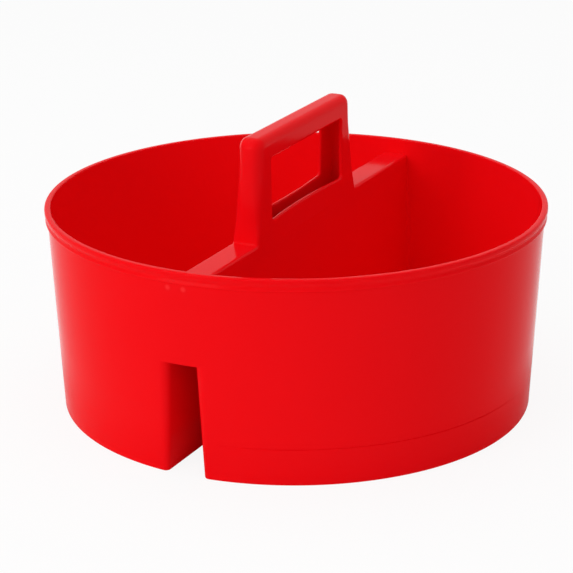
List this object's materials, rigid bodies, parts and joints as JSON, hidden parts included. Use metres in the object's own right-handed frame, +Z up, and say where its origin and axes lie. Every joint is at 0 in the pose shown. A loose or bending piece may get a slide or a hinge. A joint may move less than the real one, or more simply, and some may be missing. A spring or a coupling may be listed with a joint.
{
  "type": "tool storage caddy",
  "caption": "Round open-topped moulded storage caddy with a hollow divider across its middle, a loop carry handle and a slot at the foot of the wall.",
  "frame": {"origin": "middle of the base, on the surface it stands on", "axes": "+Z up, Y along the divider and handle with the pictured slot at -Y, X across the divider"},
  "size_m": [0.32, 0.32, 0.187],
  "materials": {
    "red_plastic": "glossy moulded plastic, one colour throughout"
  },
  "bodies": {
    "root": {"drum_wall": "red_plastic", "rim_lip": "red_plastic", "left_floor": "red_plastic", "right_floor": "red_plastic", "divider_left_wall": "red_plastic", "divider_right_wall": "red_plastic", "divider_front_top": "red_plastic", "divider_rear_top": "red_plastic", "handle_front_leg": "red_plastic", "handle_rear_leg": "red_plastic", "handle_grip": "red_plastic", "left_hole_sill": "red_plastic", "right_hole_sill": "red_plastic"}
  },
  "joints": []
}
